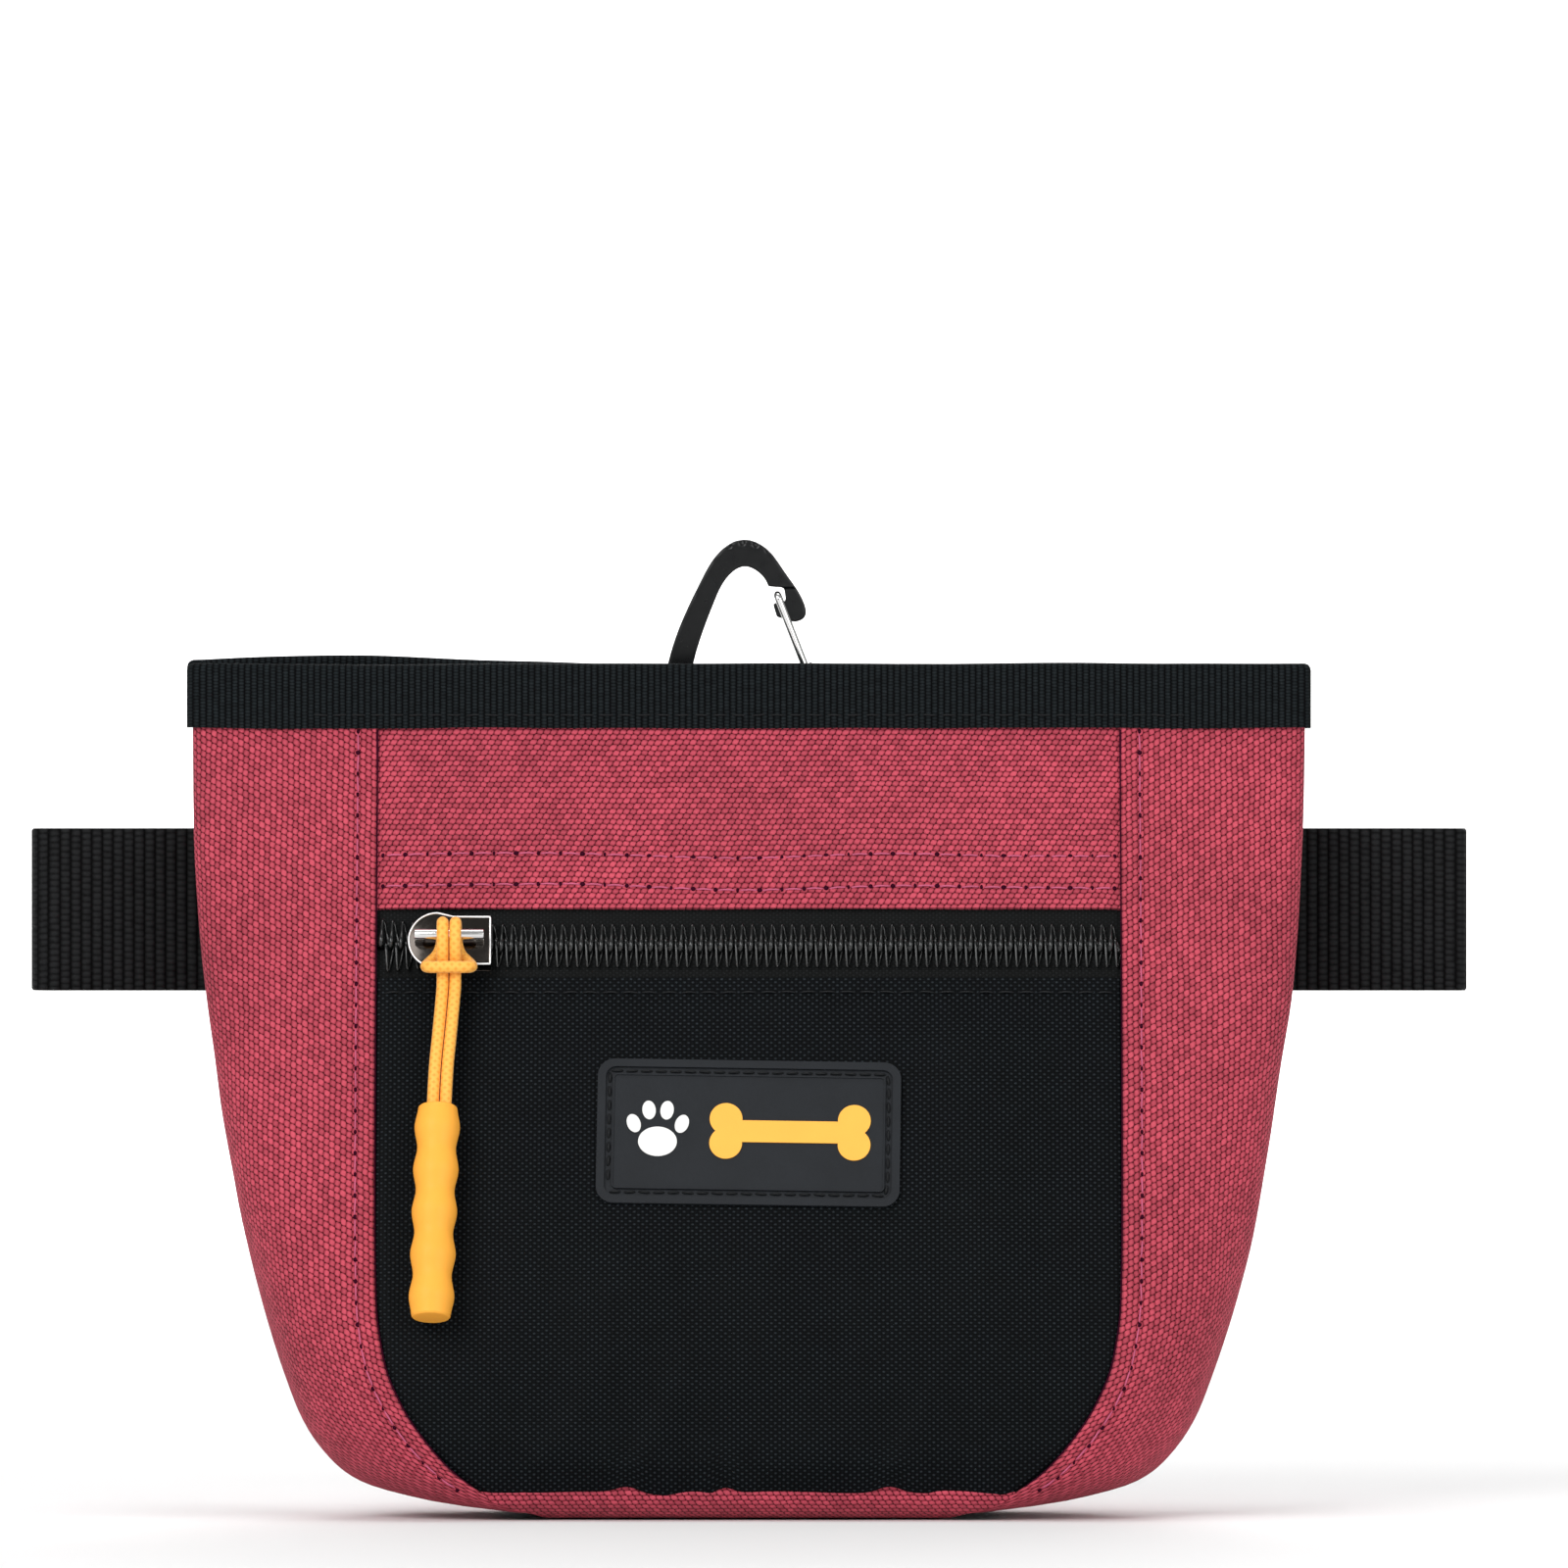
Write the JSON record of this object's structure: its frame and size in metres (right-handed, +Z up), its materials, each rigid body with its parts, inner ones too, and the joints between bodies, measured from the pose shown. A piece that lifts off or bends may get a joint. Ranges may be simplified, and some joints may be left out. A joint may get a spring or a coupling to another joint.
{
  "type": "treat pouch",
  "caption": "Belt-worn wedge-shaped treat pouch with a zipped front pocket, a magnetic hinged mouth, a folded waist belt and a small wire-gate carabiner.",
  "frame": {"origin": "middle of the flat base panel's underside", "axes": "+Z up towards the mouth, -Y out of the pocket's face, +X along the belt"},
  "size_m": [0.2175, 0.0612, 0.1468],
  "materials": {
    "canvas": "coarse plain-woven crimson canvas",
    "pocket_nylon": "black oxford nylon, slight sheen",
    "lining": "thin dark grey polyester",
    "binding_tape": "black ribbed tape",
    "magnet": "flexible magnetic strip",
    "zip_tape": "black herringbone tape",
    "zip_coil": "black nylon coil",
    "slider_metal": "plated zinc, polished",
    "pull_cord": "amber braided cord",
    "pull_grip": "amber moulded elastomer",
    "badge": "charcoal moulded PVC",
    "badge_motif": "amber PVC inlay",
    "webbing": "black ribbed webbing",
    "carabiner_plastic": "black moulded nylon, satin",
    "gate_steel": "bright steel wire",
    "buckle_plastic": "black moulded acetal"
  },
  "bodies": {
    "pouch": {"back_panel": "canvas", "base_panel": "canvas", "gusset_left_back": "canvas", "gusset_right_back": "canvas", "lining_back": "lining", "lining_base": "lining", "mouth_binding_back": "binding_tape", "magnet_back": "magnet", "belt_keeper_left": "webbing", "belt_keeper_right": "webbing", "hanger_tab": "webbing"},
    "side_folds": {"lining_fold_left": "lining", "lining_fold_right": "lining"},
    "front_wall": {"upper_panel": "canvas", "pocket_panel": "pocket_nylon", "pocket_backing": "pocket_nylon", "gusset_left_front": "canvas", "gusset_right_front": "canvas", "lining_front": "lining", "mouth_binding_front": "binding_tape", "magnet_front": "magnet", "zip_tape_upper": "zip_tape", "zip_tape_lower": "zip_tape", "zip_coil_upper": "zip_coil", "zip_coil_lower": "zip_coil", "badge": "badge", "badge_paw": "badge_motif", "badge_bone": "badge_motif"},
    "slider": {"slider_body": "slider_metal", "slider_bridge": "slider_metal"},
    "hitch": {"pull_cord_hitch": "pull_cord"},
    "pull": {"pull_cord_strands": "pull_cord", "pull_grip": "pull_grip"},
    "carabiner": {"carabiner_frame": "carabiner_plastic"},
    "gate": {"gate_wire": "gate_steel"},
    "belt": {"waist_belt": "webbing", "buckle_female": "buckle_plastic", "buckle_male": "buckle_plastic"},
    "slip_loop": {"belt_slip_loop": "webbing"},
    "prong_upper": {"buckle_prong_upper": "buckle_plastic"},
    "prong_lower": {"buckle_prong_lower": "buckle_plastic"}
  },
  "joints": [
    {"name": "mouth_open", "type": "hinge", "parent": "pouch", "child": "side_folds", "pos_m": [0, -0.019, 0.001], "axis": [1, 0, 0], "range_deg": [0, 7]},
    {"name": "front_wall_open", "type": "hinge", "parent": "side_folds", "child": "front_wall", "pos_m": [0, -0.019, 0.001], "axis": [1, 0, 0], "range_deg": [0, 7]},
    {"name": "zip_slide", "type": "slide", "parent": "front_wall", "child": "slider", "axis": [1, 0, 0], "range_m": [0, 0.092]},
    {"name": "pull_lift", "type": "hinge", "parent": "slider", "child": "hitch", "pos_m": [-0.0449, -0.00293, 0.08705], "axis": [-1, 0, 0], "range_deg": [0, 150]},
    {"name": "pull_swing", "type": "hinge", "parent": "hitch", "child": "pull", "pos_m": [-0.0449, -0.00466, 0.07946], "axis": [0, -0.9471, 0.321], "range_deg": [-22, 22]},
    {"name": "carabiner_swing", "type": "hinge", "parent": "pouch", "child": "carabiner", "pos_m": [0, 0.026, 0.1113], "axis": [-1, 0, 0], "range_deg": [0, 92]},
    {"name": "gate_open", "type": "hinge", "parent": "carabiner", "child": "gate", "pos_m": [0.0093, 0.02539, 0.12539], "axis": [0, -0.999, -0.0436], "range_deg": [0, 38], "stiffness_Nm_per_rad": 0.03, "springref_deg": -11.46},
    {"name": "belt_slide", "type": "slide", "parent": "pouch", "child": "belt", "axis": [1, 0, 0], "range_m": [-0.03, 0.03]},
    {"name": "slip_loop_slide", "type": "slide", "parent": "belt", "child": "slip_loop", "axis": [1, 0, 0], "range_m": [-0.012, 0.012]},
    {"name": "prong_upper_squeeze", "type": "hinge", "parent": "belt", "child": "prong_upper", "pos_m": [-0.007, 0.0332, 0.1002], "axis": [0, 1, 0], "range_deg": [0, 7.5], "stiffness_Nm_per_rad": 0.05, "springref_deg": -2.86},
    {"name": "prong_lower_squeeze", "type": "hinge", "parent": "belt", "child": "prong_lower", "pos_m": [-0.007, 0.0332, 0.081], "axis": [0, -1, 0], "range_deg": [0, 7.5], "stiffness_Nm_per_rad": 0.05, "springref_deg": -2.86}
  ],
  "couplings": [
    {"joint": "front_wall_open", "follows": "mouth_open", "ratio": 1},
    {"joint": "prong_lower_squeeze", "follows": "prong_upper_squeeze", "ratio": 1}
  ]
}
